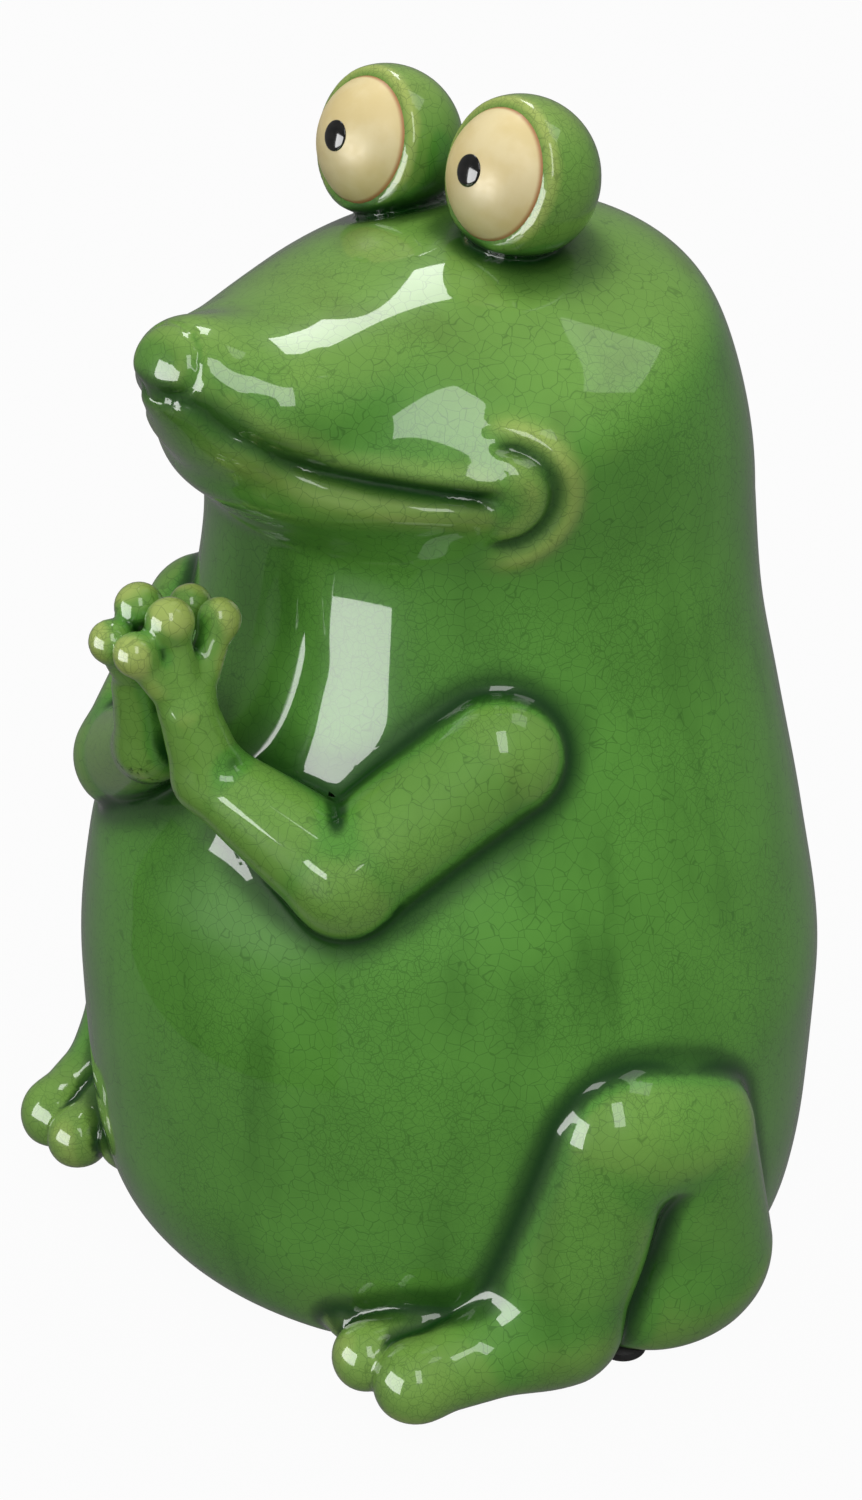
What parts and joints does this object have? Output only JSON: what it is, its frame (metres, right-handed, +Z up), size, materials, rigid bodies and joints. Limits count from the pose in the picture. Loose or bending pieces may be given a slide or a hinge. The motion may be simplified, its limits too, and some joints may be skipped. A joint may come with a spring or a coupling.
{
  "type": "ceramic frog figurine",
  "caption": "Upright seated ceramic frog ornament with crackle glaze, round raised eyes, a wide mouth and hands held together, on rubber pads.",
  "frame": {"origin": "middle of the overall box on the table, at the underside of the rubber pads", "axes": "+Z up, the frog faces -Y and its left side is +X"},
  "size_m": [0.1806, 0.1632, 0.2387],
  "materials": {
    "green_glaze": "glossy crackle glaze",
    "cream_slip": "satin",
    "black_enamel": "gloss",
    "black_rubber": "matte"
  },
  "bodies": {
    "root": {"body_shell": "green_glaze", "left_eyelid": "green_glaze", "left_eyeball": "cream_slip", "left_pupil": "black_enamel", "left_arm": "green_glaze", "left_hand": "green_glaze", "left_leg": "green_glaze", "left_foot": "green_glaze", "right_eyelid": "green_glaze", "right_eyeball": "cream_slip", "right_pupil": "black_enamel", "right_arm": "green_glaze", "right_hand": "green_glaze", "right_leg": "green_glaze", "right_foot": "green_glaze", "front_pad": "black_rubber", "rear_pad": "black_rubber", "left_pad": "black_rubber", "right_pad": "black_rubber"}
  },
  "joints": []
}
